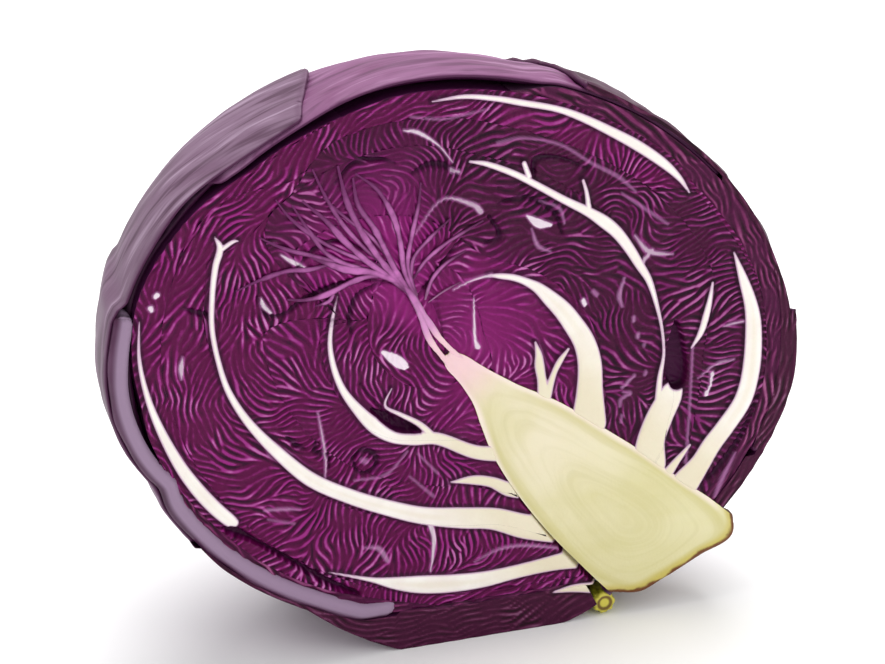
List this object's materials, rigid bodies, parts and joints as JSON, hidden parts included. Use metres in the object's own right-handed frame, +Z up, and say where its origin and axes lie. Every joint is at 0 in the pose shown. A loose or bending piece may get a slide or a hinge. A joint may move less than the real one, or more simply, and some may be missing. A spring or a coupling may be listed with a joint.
{
  "type": "half red cabbage",
  "caption": "Half of a red cabbage cut lengthwise: pale stem core, packed purple leaves with white midribs, and waxy wrapper leaves. Stands on its flattened outer leaves.",
  "frame": {"origin": "centre of the bounding box at the level it stands on", "axes": "+Z up; -Y is the way the cut face looks; +X to the right of someone facing the cut, where the stem end is"},
  "size_m": [0.1724, 0.0812, 0.1487],
  "materials": {
    "stem": "moist pale yellow cut flesh, brown skin at the cut end",
    "stalk": "yellow-green broken stalk with a brown rim",
    "heart_leaf": "moist magenta-purple cut leaf",
    "head_leaf": "moist dark purple crinkled leaf with white cut midribs",
    "outer_leaf": "dark wine-purple leaf, satin",
    "wrapper_leaf": "dark purple leaf with a dull grey-mauve waxy bloom"
  },
  "bodies": {
    "root": {"stem_core": "stem", "stalk_stub": "stalk", "heart_bud": "heart_leaf", "heart_leaf_1": "heart_leaf", "heart_leaf_2": "heart_leaf", "heart_leaf_3": "heart_leaf", "heart_leaf_4": "heart_leaf", "head_leaf_1": "head_leaf", "head_leaf_2": "head_leaf", "head_leaf_3": "head_leaf", "head_leaf_4": "head_leaf", "head_leaf_5": "head_leaf", "head_leaf_6": "head_leaf", "head_leaf_7": "head_leaf", "outer_leaf_1": "outer_leaf", "outer_leaf_2": "outer_leaf", "outer_leaf_3": "outer_leaf", "wrapper_leaf_top": "wrapper_leaf", "wrapper_leaf_right": "wrapper_leaf", "wrapper_leaf_stem": "wrapper_leaf", "wrapper_leaf_back": "wrapper_leaf", "wrapper_leaf_low_left": "wrapper_leaf", "wrapper_leaf_left": "wrapper_leaf", "wrapper_leaf_under": "wrapper_leaf"}
  },
  "joints": []
}
